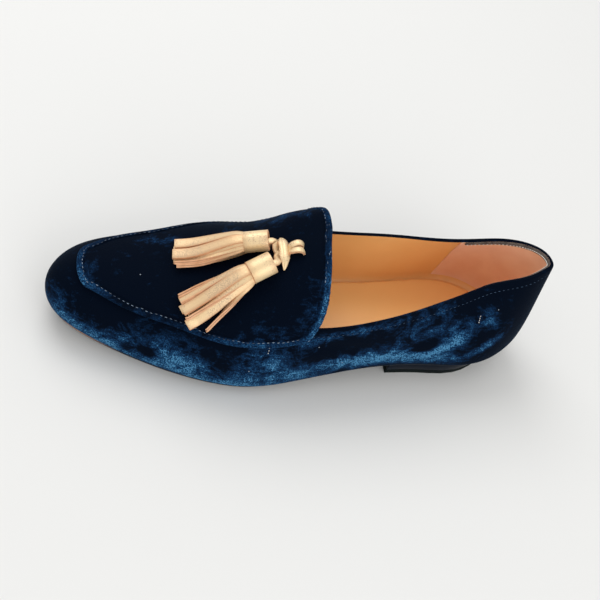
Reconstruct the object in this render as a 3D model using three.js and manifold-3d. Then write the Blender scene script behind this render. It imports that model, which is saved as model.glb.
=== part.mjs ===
// A left slipper loafer in velvet: a hollow lasted upper, an apron whose back end is a free tab, a thin outsole,
// a low heel, an insole, and two leather tassels on a knotted thong.
// Millimetres. +X points to the toe, +Y to the wearer's left and +Z up.
import * as THREE from 'three';
import { mergeVertices } from 'three/addons/utils/BufferGeometryUtils.js';
import Module from 'manifold-3d';

const wasm = await Module();
wasm.setup();

// Driving dimensions of the last
const shoeLength = 252;
const ballWidth = 84;
const instepHeight = 66; // top of the vamp over the outsole, in the middle of the shoe
const backHeight = 56; // collar over the outsole at the back of the heel
const heelLean = 5.5; // how far the lateral side leans in at the collar, over the heel
const bellyHeight = 8; // widest line of the wall over the outsole
const heelRound = 19; // radius of the outline at the back
const toeRound = 18.3; // radius of the outline at the toe
const spineBack = 28; // from the back of the heel to where the wall's lines start to meet
const spineFront = 23.6; // from the toe to where they end

// Upper
const wallThickness = 2;
const tuckDepth = 5; // how far the wall turns in from its widest line to the feather edge
const heelTuckDepth = 7.5; // the same at the back of the heel
const lastingMargin = 8;
const throatLength = 140; // from the back of the heel to where the vamp closes over the foot

// Sole and heel
const outsoleThickness = 2.5;
const soleEdge = 0.2; // how far the outsole stands out from the feather edge
const heelHeight = 9.3; // from the floor to the underside of the outsole
const toeSpring = 7.5;
const heelLength = 73.5; // from the back of the heel to the breast
const heelInset = 0.8; // heel block inside the outsole's edge, at its top
const heelTaper = 1; // how far the block draws in towards the floor
const liftThickness = 3;
const insoleThickness = 2.4;
const insoleInset = 0.8; // insole inside the feather edge, clear of the wall

// Apron
const apronThickness = 1.7;
const tabReach = 16; // how far the tab runs back past the throat
const tabCorner = 10; // radius of its corners
const tabBow = 1.5; // how far the tab's back edge bows out
const seamReach = 12; // how far in front of the throat the side seams end and the tab is free
const tabFlare = 13; // how far the tab's inner corner stands off the foot

// Tassels and thong
const capLength = 11.8;
const capRadius = 5.5;
const capWall = 1.3;
const capTaper = 0.4; // how much thinner the cap's wall is at its mouth
const fringeLength = 30;
const fringeSpread = 15; // width over the ends of the strips
const stripWidth = 4;
const stripThickness = 1.1;
const stripPress = 0.15; // how far a strip presses into the one below it
const strayWidth = 2.2; // a single strand that has strayed from the second fringe
const thongWidth = 3.4;
const thongThickness = 1.2;
const wrapLength = 18;
const wrapWidth = 4.6;
const wrapThickness = 1.3;
const slitDistance = 12.7; // from the tab's back edge to the slit that the thong comes out of
const knotDistance = 21.2; // and to the knot
const capDistance = 28.1; // and to the mouths of the caps
const knotOffset = 5; // knot to the lateral side of the middle
const loopLength = 5; // from the slit to the front of the thong's loops
const loopRise = 3.2; // height of the loops off the tab
const knotRise = 0.8; // height of the thong off the tab under the wrap
const wrapPlay = 0.4; // from the wrap's edges to where the thong turns down
const wrapArch = 1; // how far the wrap bows up over the thong

const seamGap = 0.3; // clearance between neighbouring pieces

// Last sections: half widths to the lateral and medial side as shares of the ball width
const sections = [
  { share: 0.04, lateral: 0.215, medial: 0.215 },
  { share: 0.12, lateral: 0.36, medial: 0.37 },
  { share: 0.22, lateral: 0.38, medial: 0.355 },
  { share: 0.35, lateral: 0.418, medial: 0.3 },
  { share: 0.5, lateral: 0.496, medial: 0.36 },
  { share: 0.6, lateral: 0.546, medial: 0.43 },
  { share: 0.7, lateral: 0.513, medial: 0.478 },
  { share: 0.8, lateral: 0.42, medial: 0.448 },
  { share: 0.9, lateral: 0.3, medial: 0.354 },
  { share: 0.96, lateral: 0.204, medial: 0.243 },
];

// Where the wall's lines meet over the foot, as shares of the instep height
const ridgeRows = [
  { share: 0, height: 1.9 },
  { share: 0.1, height: 1.08 },
  { share: 0.2, height: 0.86 },
  { share: 0.35, height: 1.08 },
  { share: 0.5, height: 0.98 },
  { share: 0.6, height: 0.805 },
  { share: 0.7, height: 0.655 },
  { share: 0.8, height: 0.525 },
  { share: 0.9, height: 0.46 },
  { share: 1, height: 0.36 },
];

// Fullness of the cross section: 2 is an ellipse, more is squarer
const fullnessRows = [
  { share: 0, fullness: 2.2 },
  { share: 0.15, fullness: 1.9 },
  { share: 0.3, fullness: 2.1 },
  { share: 0.5, fullness: 2.3 },
  { share: 0.7, fullness: 2.3 },
  { share: 0.85, fullness: 2.42 },
  { share: 1, fullness: 2.4 },
];

// Collar heights over the outsole as shares of the back height
const collarRows = [
  { share: 0, lateral: 1, medial: 1 },
  { share: 0.06, lateral: 0.95, medial: 0.915 },
  { share: 0.15, lateral: 0.815, medial: 0.78 },
  { share: 0.25, lateral: 0.75, medial: 0.74 },
  { share: 0.35, lateral: 0.7, medial: 0.755 },
  { share: 0.45, lateral: 0.68, medial: 0.75 },
  { share: 0.56, lateral: 0.74, medial: 0.79 },
];

// Places that follow the throat
const apronBack = throatLength - tabReach;
const apronSeamEnd = throatLength + seamReach;
const slitX = apronBack + slitDistance;
const knotX = apronBack + knotDistance;
const capX = apronBack + capDistance;

// Apron outline from the tab to the toe, half widths as shares of the ball width
const apronRows = [
  { share: 0.49, lateral: 0.445, medial: 0.325 },
  { share: 0.56, lateral: 0.478, medial: 0.352 },
  { share: 0.63, lateral: 0.48, medial: 0.38 },
  { share: 0.7, lateral: 0.432, medial: 0.375 },
  { share: 0.76, lateral: 0.356, medial: 0.335 },
  { share: 0.82, lateral: 0.288, medial: 0.288 },
  { share: 0.88, lateral: 0.21, medial: 0.228 },
  { share: 0.92, lateral: 0.14, medial: 0.148 },
];
const apronTipShare = 0.9445;

// Cubic spline through (xs, ys), with flat ends or with free ones
function spline(xs, ys, flatEnds = false) {
  const last = xs.length - 1;
  const gaps = xs.slice(1).map((x, i) => x - xs[i]);
  const slopes = gaps.map((gap, i) => (ys[i + 1] - ys[i]) / gap);
  const diagonal = xs.map((x, i) => (i > 0 && i < last ? 2 * (gaps[i - 1] + gaps[i]) : 1));
  const below = xs.map((x, i) => (i > 0 && i < last ? gaps[i - 1] : 0));
  const above = xs.map((x, i) => (i > 0 && i < last ? gaps[i] : 0));
  const bend = xs.map((x, i) => (i > 0 && i < last ? 6 * (slopes[i] - slopes[i - 1]) : 0));
  if (flatEnds) {
    diagonal[0] = 2 * gaps[0];
    above[0] = gaps[0];
    bend[0] = 6 * slopes[0];
    diagonal[last] = 2 * gaps[last - 1];
    below[last] = gaps[last - 1];
    bend[last] = -6 * slopes[last - 1];
  }
  for (let i = 1; i <= last; i++) {
    const factor = below[i] / diagonal[i - 1];
    diagonal[i] -= factor * above[i - 1];
    bend[i] -= factor * bend[i - 1];
  }
  for (let i = last; i >= 0; i--) {
    const next = i < last ? above[i] * bend[i + 1] : 0;
    bend[i] = (bend[i] - next) / diagonal[i];
  }
  return (x) => {
    let i = 0;
    while (i < last - 1 && x > xs[i + 1]) i++;
    const gap = gaps[i];
    const right = (x - xs[i]) / gap;
    const left = 1 - right;
    const cubic = (left ** 3 - left) * bend[i] + (right ** 3 - right) * bend[i + 1];
    return left * ys[i] + right * ys[i + 1] + (cubic * gap * gap) / 6;
  };
}

const column = (rows, name) => spline(rows.map((row) => row.share), rows.map((row) => row[name]));
const smooth = (t) => THREE.MathUtils.smoothstep(t, 0, 1);
const lerp = THREE.MathUtils.lerp;

// Last surface. A turn runs from 0 at the back of the heel to PI at the toe, and side is 1 lateral or -1 medial.
// A wall line climbs from the widest line to the spine over the foot's middle.
const shareAtTurn = (turn) => (1 - Math.cos(turn)) / 2;
const turnAtShare = (share) => Math.acos(1 - 2 * share);

function halfWidthCurve(name) {
  const turns = sections.map((row) => turnAtShare(row.share));
  const radii = sections.map((row, i) => (row[name] * ballWidth) / Math.sin(turns[i]));
  const backRadius = Math.sqrt((heelRound * shoeLength) / 2);
  const toeRadius = Math.sqrt((toeRound * shoeLength) / 2);
  return spline([0, ...turns, Math.PI], [backRadius, ...radii, toeRadius], true);
}

const roundness = { 1: halfWidthCurve('lateral'), '-1': halfWidthCurve('medial') };
const ridgeShare = column(ridgeRows, 'height');
const fullness = column(fullnessRows, 'fullness');
const collarShare = { 1: column(collarRows, 'lateral'), '-1': column(collarRows, 'medial') };

const widest = (turn, side) => new THREE.Vector2(
  shoeLength * shareAtTurn(turn),
  side * Math.sin(turn) * roundness[side](turn),
);
const spineX = (turn) => lerp(spineBack, shoeLength - spineFront, shareAtTurn(turn));
const shareAtX = (x) => THREE.MathUtils.clamp(x / shoeLength, 0, 1);

// Underside of the outsole: level under the heel, down through the waist, level at the ball, up at the toe
const waistStart = heelLength / shoeLength;
const throatShare = throatLength / shoeLength;
const ballStart = 0.6;
const springStart = 0.74;
function soleBottom(x) {
  const share = shareAtX(x);
  const seat = heelHeight * (1 - smooth((share - waistStart) / (ballStart - waistStart)));
  const spring = Math.max(0, (share - springStart) / (1 - springStart));
  return seat + toeSpring * spring ** 2;
}
const soleTop = (x) => soleBottom(x) + outsoleThickness;
const upperBottom = (x) => soleTop(x) + seamGap;

// Height of the wall at x, for a climb from 0 at the widest line to 1 at the spine
const wallZ = (x, climb) => upperBottom(x) + lerp(bellyHeight, instepHeight * ridgeShare(shareAtX(x)), climb);

// How far the lateral side leans in over the heel, by its share of the length, its offset and its height over the sole
const leanFront = 0.36;
const leanBack = 0.1;
const leanFrom = 14;
const leanFoot = 12;
function heelLeanAt(share, offset, height) {
  const alongside = smooth((leanFront - share) / (leanFront - leanBack));
  return heelLean * alongside * smooth(offset / leanFrom) * smooth((height - leanFoot) / (backHeight - leanFoot));
}

// Point of a wall line, for a rise angle from 0 at the widest line to PI / 2 at the spine
function wallPoint(turn, side, rise) {
  const from = widest(turn, side);
  const power = 2 / fullness(shareAtTurn(turn));
  const across = 1 - Math.max(0, Math.cos(rise)) ** power;
  const x = lerp(from.x, spineX(turn), across);
  const y = rise >= Math.PI / 2 ? 0 : lerp(from.y, 0, across);
  const z = wallZ(x, Math.sin(rise) ** power);
  return new THREE.Vector3(x, y - heelLeanAt(shareAtTurn(turn), y, z - upperBottom(x)), z);
}

// How far the wall's foot turns in: more round the back of the heel
const heelReach = 0.3;
function tuckAt(turn) {
  return lerp(heelTuckDepth, tuckDepth, smooth(shareAtTurn(turn) / heelReach));
}

// Point of the turned-in foot of the wall, at a depth into the wall and an angle from 0 down to PI / 2 at the feather
function tuckPoint(turn, side, angle, depth) {
  const left = (bellyHeight - depth) / bellyHeight;
  const inset = depth + tuckAt(turn) * left * (1 - Math.cos(angle));
  const plan = insetPoint(turn, side, inset);
  return new THREE.Vector3(plan.x, plan.y, upperBottom(plan.x) + bellyHeight - (bellyHeight - depth) * Math.sin(angle));
}

// Point of the plan, moved in from the widest line towards the spine
function insetPoint(turn, side, inset) {
  const from = widest(turn, side);
  const to = new THREE.Vector2(spineX(turn), 0);
  return from.clone().add(to.sub(from).setLength(inset));
}

// Height of the last's surface over a point of the plan
function surfaceZ(x, y) {
  const side = y >= 0 ? 1 : -1;
  const turnSide = (turn) => {
    const from = widest(turn, side);
    return ((from.x - spineX(turn)) * y - from.y * (x - spineX(turn))) * side;
  };
  let low = 0.001;
  let high = Math.PI - 0.001;
  for (let i = 0; i < 40; i++) {
    const middle = (low + high) / 2;
    if (turnSide(middle) > 0 === turnSide(low) > 0) low = middle;
    else high = middle;
  }
  const from = widest(low, side);
  const out = Math.hypot(x - spineX(low), y) / Math.hypot(from.x - spineX(low), from.y);
  const power = fullness(shareAtTurn(low));
  return wallZ(x, (1 - Math.min(1, out) ** power) ** (1 / power));
}

function surfaceNormal(x, y) {
  const step = 0.5;
  const slopeX = (surfaceZ(x + step, y) - surfaceZ(x - step, y)) / (2 * step);
  const slopeY = (surfaceZ(x, y + step) - surfaceZ(x, y - step)) / (2 * step);
  return new THREE.Vector3(-slopeX, -slopeY, 1).normalize();
}

// Closed solid between two like meshes of points: outer faces, inner faces turned round, and a rim along each open edge
function shell(outer, inner, faces) {
  const triangles = faces.flatMap((face) => (face.length === 4
    ? [[face[0], face[1], face[2]], [face[0], face[2], face[3]]]
    : [face]));
  const merged = new Map();
  const key = (i) => outer[i].toArray().map((value) => value.toFixed(4)).join();
  const same = outer.map((point, i) => {
    if (!merged.has(key(i))) merged.set(key(i), i);
    return merged.get(key(i));
  });
  const solid = triangles.map((triangle) => triangle.map((i) => same[i])).filter((t) => new Set(t).size === 3);
  const edges = new Set(solid.flatMap(([a, b, c]) => [`${a},${b}`, `${b},${c}`, `${c},${a}`]));
  const positions = [];
  const add = (...points) => positions.push(...points.flatMap((point) => point.toArray()));
  for (const [a, b, c] of solid) {
    add(outer[a], outer[b], outer[c]);
    add(inner[a], inner[c], inner[b]);
  }
  for (const edge of edges) {
    const [a, b] = edge.split(',').map(Number);
    if (edges.has(`${b},${a}`)) continue;
    add(outer[b], outer[a], inner[a]);
    add(outer[b], inner[a], inner[b]);
  }
  const geometry = new THREE.BufferGeometry();
  geometry.setAttribute('position', new THREE.Float32BufferAttribute(positions, 3));
  return mergeVertices(geometry, 0.0005);
}

// Quads between neighbouring lines of points that all have the same length
const quads = (lines, length, wrap) => lines.slice(0, wrap ? lines.length : -1).flatMap((line, i) => {
  const next = lines[(i + 1) % lines.length];
  return Array.from({ length: length - 1 }, (unused, j) => [line + j, line + j + 1, next + j + 1, next + j]);
});

// Turns of the columns round the shoe: lateral side from heel to toe, then medial side back
const quarterColumns = 15;
const vampColumns = 15;
const throatTurn = turnAtShare(throatShare);
const sideTurns = [
  ...Array.from({ length: quarterColumns }, (unused, i) => (throatTurn * i) / quarterColumns),
  ...Array.from({ length: vampColumns + 1 }, (unused, i) => lerp(throatTurn, Math.PI, i / vampColumns)),
];
const columns = [
  ...sideTurns.map((turn) => ({ turn, side: 1 })),
  ...sideTurns.slice(1, -1).reverse().map((turn) => ({ turn, side: -1 })),
];

// Rise at which a column's wall line reaches the collar, or for the vamp the rise of the collar at the throat
function collarRise(turn, side) {
  const share = Math.min(shareAtTurn(turn), throatShare);
  const target = backHeight * collarShare[side](share);
  const height = (rise) => {
    const point = wallPoint(turnAtShare(share), side, rise);
    return point.z - upperBottom(point.x);
  };
  let low = 0;
  let high = Math.PI / 2;
  for (let i = 0; i < 40; i++) {
    const middle = (low + high) / 2;
    if (height(middle) < target) low = middle;
    else high = middle;
  }
  return low;
}

function makeUpper() {
  const tuckSteps = 3;
  const wallSteps = 6;
  const roofSteps = 5;
  const outer = [];
  const inner = [];
  const explicit = new Set();
  const starts = columns.map(({ turn, side }) => {
    const start = outer.length;
    for (const [points, depth] of [[outer, 0], [inner, wallThickness]]) {
      const margin = insetPoint(turn, side, tuckAt(turn) + lastingMargin);
      points.push(new THREE.Vector3(margin.x, margin.y, upperBottom(margin.x) + depth));
      for (let i = tuckSteps; i > 0; i--) points.push(tuckPoint(turn, side, (i / tuckSteps) * (Math.PI / 2), depth));
    }
    for (let i = start; i < outer.length; i++) explicit.add(i);
    const collar = collarRise(turn, side);
    for (let i = 0; i <= wallSteps; i++) outer.push(wallPoint(turn, side, (collar * i) / wallSteps));
    for (let i = 1; i <= roofSteps; i++) outer.push(wallPoint(turn, side, lerp(collar, Math.PI / 2, i / roofSteps)));
    inner.length = outer.length;
    return start;
  });
  const wallRows = 1 + tuckSteps + wallSteps + 1;
  const faces = quads(starts, wallRows, true);
  const isVamp = ({ turn }) => turn > throatTurn - 0.001;
  const roofStarts = starts.filter((start, i) => isVamp(columns[i])).map((start) => start + wallRows - 1);
  faces.push(...quads(roofStarts, roofSteps + 1, false));

  const skin = new THREE.BufferGeometry().setFromPoints(outer);
  skin.setIndex(faces.flatMap(([a, b, c, d]) => [a, b, c, a, c, d]));
  const merged = mergeVertices(skin, 0.001);
  merged.computeVertexNormals();
  skin.index.array.forEach((i, corner) => {
    if (explicit.has(i)) return;
    const normal = new THREE.Vector3().fromBufferAttribute(merged.attributes.normal, merged.index.array[corner]);
    inner[i] = outer[i].clone().addScaledVector(normal, -wallThickness);
  });
  return shell(outer, inner, faces);
}

// Flat piece inside the feather edge by an inset, between two heights that follow the sole
function makePlate(inset, topZ, bottomZ) {
  const rings = [0, 0.25, 0.6, 1];
  const top = [];
  const bottom = [];
  const starts = columns.map(({ turn, side }) => {
    const start = top.length;
    const edge = insetPoint(turn, side, tuckAt(turn) + inset);
    for (const t of rings) {
      const x = lerp(edge.x, spineX(turn), t);
      const y = t === 1 ? 0 : lerp(edge.y, 0, t);
      top.push(new THREE.Vector3(x, y, topZ(x)));
      bottom.push(new THREE.Vector3(x, y, bottomZ(x)));
    }
    return start;
  });
  return shell(top, bottom, quads(starts, rings.length, true));
}

// Heel layer: the back of the outsole's outline closed by the straight breast, drawn in by an inset at each level
function makeHeelLayer(topInset, bottomInset, topZ, bottomZ) {
  const breastShare = heelLength / shoeLength;
  const steps = 14;
  const turns = Array.from({ length: steps + 1 }, (unused, i) => (turnAtShare(breastShare) * i) / steps);
  const around = [
    ...turns.map((turn) => ({ turn, side: 1 })),
    ...turns.slice(1).reverse().map((turn) => ({ turn, side: -1 })),
  ];
  const ring = (inset, z) => around.map(({ turn, side }) => {
    const point = insetPoint(turn, side, tuckAt(turn) - soleEdge + inset);
    return new THREE.Vector3(point.x, point.y, z);
  });
  const top = ring(topInset, topZ);
  const bottom = ring(bottomInset, bottomZ);
  const faces = THREE.ShapeUtils.triangulateShape(top.map((point) => new THREE.Vector2(point.x, point.y)), []);
  return shell(top, bottom, faces);
}

// Apron outline on one side of the shoe: half the tab's back edge, its round corner, the side and the tip
function apronSide(name, side) {
  const width = column(apronRows, name);
  const tip = apronTipShare * shoeLength;
  const cornerEnd = apronBack + tabCorner;
  const cornerWidth = ballWidth * width(cornerEnd / shoeLength);
  const points = [];
  const edgeSteps = 4;
  for (let i = 0; i < edgeSteps; i++) {
    const y = ((cornerWidth - tabCorner) * i) / edgeSteps;
    points.push(new THREE.Vector2(apronBack + tabBow * (y / cornerWidth) ** 2, y));
  }
  const cornerSteps = 4;
  for (let i = 0; i < cornerSteps; i++) {
    const angle = (i / cornerSteps) * (Math.PI / 2);
    const x = cornerEnd - tabCorner * Math.cos(angle);
    const y = cornerWidth - tabCorner * (1 - Math.sin(angle));
    points.push(new THREE.Vector2(x + tabBow * (y / cornerWidth) ** 2 * Math.cos(angle), y));
  }
  const tipStart = apronRows.at(-1).share * shoeLength;
  const sideSteps = 11;
  for (let i = 0; i < sideSteps; i++) {
    const x = lerp(cornerEnd, tipStart, i / sideSteps);
    points.push(new THREE.Vector2(x, ballWidth * width(x / shoeLength)));
  }
  const tipWidth = ballWidth * width(tipStart / shoeLength);
  const tipSteps = 4;
  for (let i = 0; i <= tipSteps; i++) {
    const angle = (i / tipSteps) * (Math.PI / 2);
    points.push(new THREE.Vector2(lerp(tipStart, tip, Math.sin(angle)), tipWidth * Math.cos(angle)));
  }
  points.at(-1).y = 0;
  return points.map((point) => new THREE.Vector2(point.x, side * point.y));
}

// How far the free tab stands off the foot, most at its inner corner
const instep = sections.find(({ share }) => share === 0.5);
function tabLift(x, y) {
  const free = smooth((apronSeamEnd - x) / (apronSeamEnd - apronBack));
  const medial = Math.max(0, -y) / (ballWidth * instep.medial);
  return tabFlare * free * Math.min(1, medial) ** 2;
}

// Point over the foot at a height off the upper
function overUpper(x, y, off) {
  return new THREE.Vector3(x, y, surfaceZ(x, y) + tabLift(x, y)).addScaledVector(surfaceNormal(x, y), off);
}

// The apron's rings close on a line over the middle of the foot, at these distances from its two ends
const closeBack = 30;
const closeFront = 16;

function makeApron() {
  const lateral = apronSide('lateral', 1);
  const medial = apronSide('medial', -1);
  const outline = [...lateral, ...medial.slice(1, -1).reverse()];
  const last = lateral.length - 1;
  const spineStart = apronBack + closeBack;
  const spineEnd = apronTipShare * shoeLength - closeFront;
  const rings = [0, 0.06, 0.14, 0.24, 0.36, 0.5, 0.66, 0.83, 1];
  const top = [];
  const bottom = [];
  const starts = outline.map((edge, i) => {
    const start = top.length;
    const along = (i <= last ? i : 2 * last - i) / last;
    for (const t of rings) {
      const x = lerp(edge.x, lerp(spineStart, spineEnd, along), t);
      const y = t === 1 ? 0 : lerp(edge.y, 0, t);
      top.push(overUpper(x, y, seamGap + apronThickness));
      bottom.push(overUpper(x, y, seamGap));
    }
    return start;
  });
  return shell(top, bottom, quads(starts, rings.length, true));
}

// Solids for joining
function toSolid(geometry) {
  const plain = geometry.clone();
  plain.deleteAttribute('normal');
  plain.deleteAttribute('uv');
  const merged = mergeVertices(plain, 0.0001);
  const mesh = new wasm.Mesh({
    numProp: 3,
    vertProperties: new Float32Array(merged.attributes.position.array),
    triVerts: new Uint32Array(merged.index.array),
  });
  return new wasm.Manifold(mesh);
}

function fromSolid(solid) {
  const mesh = solid.getMesh();
  const geometry = new THREE.BufferGeometry();
  geometry.setAttribute('position', new THREE.BufferAttribute(mesh.vertProperties, 3));
  geometry.setIndex(new THREE.BufferAttribute(mesh.triVerts, 1));
  return geometry;
}

// The pieces joined into one body, with any pocket that they close off between them filled and slivers taken out
const sliver = 0.01;
function joined(geometries) {
  const whole = geometries.map(toSolid).reduce((sum, solid) => sum.add(solid));
  const [outside] = whole.decompose().sort((a, b) => b.volume() - a.volume());
  return fromSolid(outside.simplify(sliver));
}

// Flat strip: at each station a left and a right point of its underside, thickened upwards
function makeStrip(stations, thickness) {
  const top = [];
  const bottom = [];
  const starts = stations.map(([left, right]) => {
    const start = top.length;
    for (const point of [left, right]) {
      bottom.push(point);
      top.push(point.clone().setZ(point.z + thickness));
    }
    return start;
  });
  return shell(top, bottom, quads(starts, 2, false));
}

// Height over a point of the plan at which something lies on the apron, or its middle at a distance off the apron
const apronOff = seamGap + apronThickness + seamGap;
const layHeight = (x, y, distance = 0) => surfaceZ(x, y) + tabLift(x, y) + (apronOff + distance) / surfaceNormal(x, y).z;

// Tassels: where each cap's mouth lies across the apron, how it is turned in the plan, and which strip it hangs on
const tassels = [
  { capY: knotOffset - 5.4, heading: -6, thongSide: -1, stray: false },
  { capY: knotOffset + 6.2, heading: 21, thongSide: 1, stray: true },
].map((tassel) => {
  const angle = THREE.MathUtils.degToRad(tassel.heading);
  return { ...tassel, along: new THREE.Vector2(Math.cos(angle), Math.sin(angle)) };
});

const planPoint = ({ capY, along }, distance, offset) => new THREE.Vector2(
  capX + along.x * distance - along.y * offset,
  capY + along.y * distance + along.x * offset,
);

// Axis of a cap, resting on the apron under both of its ends
function capAxis(tassel) {
  const [start, end] = [0, capLength].map((distance) => {
    const plan = planPoint(tassel, distance, 0);
    return new THREE.Vector3(plan.x, plan.y, layHeight(plan.x, plan.y, capRadius));
  });
  const slope = (end.z - start.z) / capLength;
  return { start, slope, direction: end.clone().sub(start).normalize() };
}

function alongAxis(geometry, { start, direction }) {
  const turn = new THREE.Quaternion().setFromUnitVectors(new THREE.Vector3(0, 1, 0), direction);
  return geometry.applyQuaternion(turn).translate(start.x, start.y, start.z);
}

function makeCap(tassel) {
  const profile = [
    [capRadius - capWall, 0],
    [capRadius - capTaper, 0],
    [capRadius, capLength],
    [capRadius - capWall, capLength],
    [capRadius - capWall, 0],
  ].map(([radius, height]) => new THREE.Vector2(radius, height));
  return alongAxis(new THREE.LatheGeometry(profile, 20), capAxis(tassel));
}

// Fringe layers from the apron upwards: strips in the layer and how far its ends fan out
const fringeLayers = [
  { strips: 5, fan: 1, reach: 1 },
  { strips: 4, fan: 0.82, reach: 0.97 },
  { strips: 4, fan: 0.72, reach: 1.02 },
];
const plugRadius = capRadius - capWall - seamGap;
const plugInset = 0.5; // gathered strips inside each end of the cap
const rootDepth = 2; // how far inside the cap the loose part of a strip starts

// Strips as shares of the plug's radius at their roots, and as shares of their own length from there on
const rootSpread = 0.34;
const rootHalfWidth = 0.3;
const fannedBy = 0.62;
const fullWidthBy = 0.2;
const settleFrom = 0.06;
const settledBy = 0.37;
const fringeStations = 6;

// Strip from inside the cap to its end, at an offset to the side, that settles on what lies under it
function fringeStrip(tassel, { length, layer, rootOffset, endOffset, halfWidth }) {
  const axis = capAxis(tassel);
  const pitch = stripThickness - stripPress;
  const line = Array.from({ length: fringeStations + 1 }, (unused, i) => {
    const t = i / fringeStations;
    const distance = lerp(capLength - rootDepth, capLength + length, t);
    const centre = lerp(rootOffset, endOffset, smooth(t / fannedBy));
    const half = lerp(plugRadius * rootHalfWidth, halfWidth, smooth(t / fullWidthBy));
    const settled = smooth((t - settleFrom) / (settledBy - settleFrom));
    const rootZ = axis.start.z + axis.slope * distance + (layer - fringeLayers.length / 2) * pitch;
    return [1, -1].map((edge) => {
      const plan = planPoint(tassel, distance, centre + edge * half);
      return new THREE.Vector3(plan.x, plan.y, lerp(rootZ, layHeight(plan.x, plan.y) + layer * pitch, settled));
    });
  });
  return makeStrip(line, stripThickness);
}

function makeFringe(tassel) {
  const plug = new THREE.CylinderGeometry(plugRadius, plugRadius, capLength - 2 * plugInset, 12);
  plug.translate(0, capLength / 2, 0);
  const pieces = [alongAxis(plug, capAxis(tassel))];
  fringeLayers.forEach(({ strips, fan, reach }, layer) => {
    for (let strip = 0; strip < strips; strip++) {
      const place = (2 * strip) / (strips - 1) - 1;
      pieces.push(fringeStrip(tassel, {
        length: fringeLength * reach,
        layer,
        rootOffset: place * plugRadius * rootSpread,
        endOffset: place * fan * ((fringeSpread - stripWidth) / 2),
        halfWidth: stripWidth / 2,
      }));
    }
  });
  if (tassel.stray) {
    pieces.push(fringeStrip(tassel, {
      length: fringeLength * 0.8,
      layer: 0,
      rootOffset: plugRadius * rootSpread,
      endOffset: fringeSpread * 0.88,
      halfWidth: strayWidth / 2,
    }));
  }
  return joined(pieces);
}

// Thong: each strip rises from the tab's slit, loops forward under the knot and runs into its cap.
// Rows from the slit: how far along the loop, how far off the middle in thong widths, and how high
const loopRows = [
  { along: 0, aside: 0.55, rise: 0 },
  { along: 0.5, aside: 0.62, rise: loopRise },
  { along: 1, aside: 0.5, rise: loopRise },
];
const knotAside = 0.3;
const underWrap = wrapWidth / 2 + wrapPlay;
const mouthRun = 1.5; // straight run of the strip in front of the cap's mouth

function makeThong() {
  const strips = tassels.map((tassel) => {
    const axis = capAxis(tassel);
    const inside = axis.start.clone().addScaledVector(axis.direction, plugInset - seamGap);
    const mouth = axis.start.clone().addScaledVector(axis.direction, -mouthRun);
    const over = (x, aside, rise) => {
      const y = knotOffset + tassel.thongSide * thongWidth * aside;
      return new THREE.Vector3(x, y, layHeight(x, y) + rise);
    };
    const points = [
      ...loopRows.map((row) => over(slitX + row.along * loopLength, row.aside, row.rise)),
      over(knotX - underWrap, knotAside, knotRise),
      over(knotX + underWrap, knotAside, knotRise),
      ...[mouth, inside].map((point) => point.setZ(point.z - thongThickness / 2)),
    ];
    const line = points.map((point, j) => {
      const before = points[Math.max(0, j - 1)];
      const after = points[j + 1];
      const ahead = after ? after.clone().sub(before) : new THREE.Vector3(tassel.along.x, tassel.along.y, 0);
      const across = new THREE.Vector3(-ahead.y, ahead.x, 0).setLength(thongWidth / 2);
      return [point.clone().add(across), point.clone().sub(across)];
    });
    return makeStrip(line, thongThickness);
  });
  return joined(strips);
}

// Knot wrap: a short pointed strip, arched over the thong
function makeWrap() {
  const stations = 8;
  const line = Array.from({ length: stations + 1 }, (unused, i) => {
    const t = (2 * i) / stations - 1;
    const y = knotOffset + (t * wrapLength) / 2;
    const arch = knotRise + thongThickness + seamGap + wrapArch;
    const rest = Math.max(layHeight(knotX - wrapWidth / 2, y), layHeight(knotX + wrapWidth / 2, y));
    const z = rest + arch * (1 - t ** 4);
    const half = (wrapWidth / 2) * Math.min(1, 0.25 + 1.9 * (1 - Math.abs(t)));
    return [new THREE.Vector3(knotX - half, y, z), new THREE.Vector3(knotX + half, y, z)];
  });
  return makeStrip(line, wrapThickness);
}

// Assembly
const velvet = { color: 0x0b1a33, roughness: 0.85, metalness: 0 };
const soleLeather = { color: 0x1a1d24, roughness: 0.45, metalness: 0 };
const tanLeather = { color: 0xc47a3c, roughness: 0.55, metalness: 0 };
const goldLeather = { color: 0xd9b98a, roughness: 0.4, metalness: 0.5 };
const blockBottom = liftThickness + seamGap;
const floorInset = heelInset + heelTaper;
const blockBottomInset = lerp(floorInset, heelInset, blockBottom / heelHeight);

const group = new THREE.Group();
function addPiece(name, geometry, finish) {
  const mesh = new THREE.Mesh(geometry, new THREE.MeshStandardMaterial(finish));
  mesh.name = name;
  group.add(mesh);
}

addPiece('upper', makeUpper(), velvet);
addPiece('apron', makeApron(), velvet);
addPiece('outsole', makePlate(-soleEdge, soleTop, soleBottom), soleLeather);
const insoleBottom = (x) => upperBottom(x) + wallThickness + seamGap;
addPiece('insole', makePlate(insoleInset, (x) => insoleBottom(x) + insoleThickness, insoleBottom), tanLeather);
addPiece('heel_block', makeHeelLayer(heelInset, blockBottomInset, heelHeight - seamGap, blockBottom), soleLeather);
addPiece('heel_lift', makeHeelLayer(blockBottomInset, floorInset, liftThickness, 0), soleLeather);
tassels.forEach((tassel, i) => {
  addPiece(`tassel_cap_${i + 1}`, makeCap(tassel), goldLeather);
  addPiece(`tassel_fringe_${i + 1}`, makeFringe(tassel), goldLeather);
});
addPiece('thong', makeThong(), goldLeather);
addPiece('knot_wrap', makeWrap(), goldLeather);

// The origin is the middle of the shoe's footprint, on the floor
const box = new THREE.Box3().setFromObject(group);
group.position.set(-(box.min.x + box.max.x) / 2, -(box.min.y + box.max.y) / 2, -box.min.z);
group.updateMatrixWorld(true);

export default group;
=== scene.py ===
import math

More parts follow.
